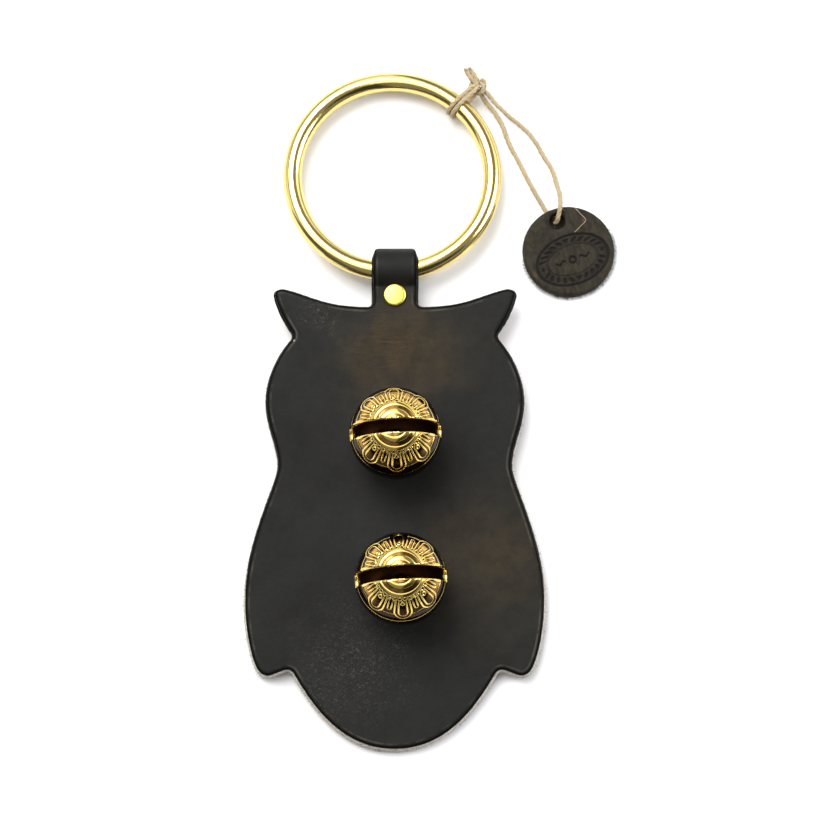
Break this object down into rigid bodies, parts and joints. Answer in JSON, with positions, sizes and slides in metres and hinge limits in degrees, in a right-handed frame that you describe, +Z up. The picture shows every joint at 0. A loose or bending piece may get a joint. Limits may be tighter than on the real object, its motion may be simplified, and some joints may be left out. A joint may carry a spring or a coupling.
{
  "type": "sleigh bell door hanger",
  "caption": "Owl-shaped black leather door hanger with round brass sleigh bells, a door ring and a leather tag on a jute cord; it rings when the door moves.",
  "frame": {"origin": "on the surface the hanger lies on, under the middle of the hanger and its ring", "axes": "+Y along the hanger towards the ring, +Z up out of its front, +X to the side where the tag lies"},
  "size_m": [0.1547, 0.2928, 0.0513],
  "materials": {
    "black_leather": "smooth, lightly scuffed, with a raw cut edge",
    "brass": "bright",
    "polished_brass": "polished",
    "bell_brass": "polished, with engraved lines",
    "steel": "zinc plated",
    "jute": "twisted natural fibre",
    "tag_leather": "dark brown-black, with a fuzzy cut edge"
  },
  "bodies": {
    "hanger": {"leather_hanger": "black_leather", "rivet_cap": "brass", "rivet_post": "brass", "upper_bell": "bell_brass", "upper_screw": "steel", "upper_washer": "steel", "lower_bell": "bell_brass", "lower_screw": "steel", "lower_washer": "steel"},
    "ring": {"door_ring": "polished_brass"},
    "tie": {"cord_knot": "jute"},
    "cord": {"tag_cord": "jute"},
    "tag": {"hang_tag": "tag_leather"},
    "upper_ball": {"upper_clapper": "steel"},
    "lower_ball": {"lower_clapper": "steel"}
  },
  "joints": [
    {"name": "ring_swing", "type": "hinge", "parent": "hanger", "child": "ring", "pos_m": [0, 0.05747, 0.0092], "axis": [1, 0, 0], "range_deg": [-155, 145]},
    {"name": "tie_slide", "type": "hinge", "parent": "ring", "child": "tie", "pos_m": [-0.0012, 0.09894, 0.00764], "axis": [0, 0.0375, 0.9993], "range_deg": [0, 190]},
    {"name": "cord_swing", "type": "hinge", "parent": "tie", "child": "cord", "pos_m": [0.03511, 0.13924, 0.00613], "axis": [0, 0, 1], "range_deg": [0, 90]},
    {"name": "tag_turn", "type": "hinge", "parent": "cord", "child": "tag", "pos_m": [0.06811, 0.08007, 0.00241], "axis": [-0.0254, 0.0687, -0.9973], "range_deg": [-32, 60]},
    {"name": "upper_clapper_roll", "type": "hinge", "parent": "hanger", "child": "upper_ball", "pos_m": [0.0004, -0.01815, 0.03256], "axis": [1, 0, 0], "continuous": true},
    {"name": "lower_clapper_roll", "type": "hinge", "parent": "hanger", "child": "lower_ball", "pos_m": [0.0027, -0.07841, 0.03032], "axis": [1, 0, 0], "continuous": true}
  ]
}
